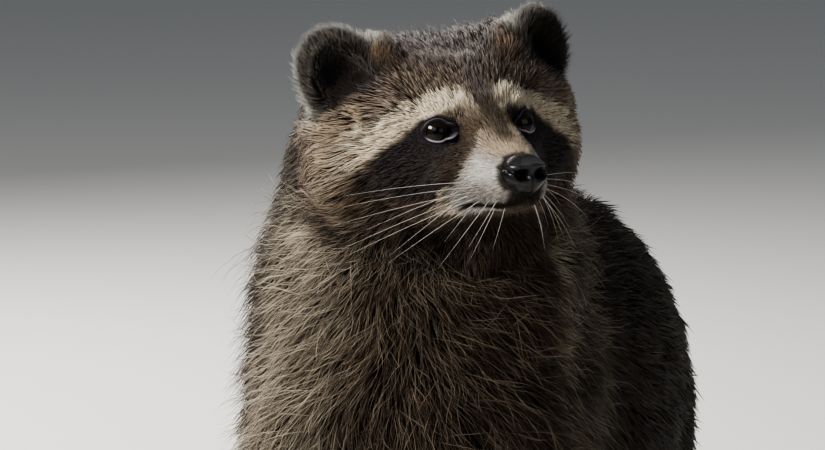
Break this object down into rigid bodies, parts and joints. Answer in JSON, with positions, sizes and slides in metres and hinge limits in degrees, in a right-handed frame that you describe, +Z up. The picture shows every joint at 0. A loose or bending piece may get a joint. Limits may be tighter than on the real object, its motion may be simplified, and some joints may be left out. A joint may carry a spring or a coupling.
{
  "type": "raccoon model",
  "caption": "Life-size still model of a standing raccoon in winter coat, its head raised and turned to its left.",
  "frame": {"origin": "on the floor under the middle of the model's box, at the level of the soles", "axes": "+Z up, the animal faces -Y, its left side is +X"},
  "size_m": [0.248, 0.6908, 0.4088],
  "materials": {
    "body_coat": "long grizzled grey-brown fur",
    "face_coat": "short grey-brown fur with a black mask and cream brows",
    "muzzle_coat": "very short cream fur",
    "ear_coat": "short grey fur with a pale rim",
    "leg_coat": "short dark brown fur",
    "paw_skin": "short dark fur over dark skin, with horn claws",
    "tail_coat": "bushy fur with dark rings",
    "nose_leather": "moist black pebbled skin",
    "wet_eye": "wet, nearly black brown"
  },
  "bodies": {
    "root": {"head": "face_coat", "muzzle": "muzzle_coat", "nose": "nose_leather", "eye_left": "wet_eye", "eye_right": "wet_eye", "ear_left": "ear_coat", "ear_right": "ear_coat", "neck": "body_coat", "trunk": "body_coat", "foreleg_left": "leg_coat", "foreleg_right": "leg_coat", "forepaw_left": "paw_skin", "forepaw_right": "paw_skin", "hindleg_left": "leg_coat", "hindleg_right": "leg_coat", "hindpaw_left": "paw_skin", "hindpaw_right": "paw_skin", "tail_root": "tail_coat", "tail_middle": "tail_coat", "tail_tip": "tail_coat"}
  },
  "joints": []
}
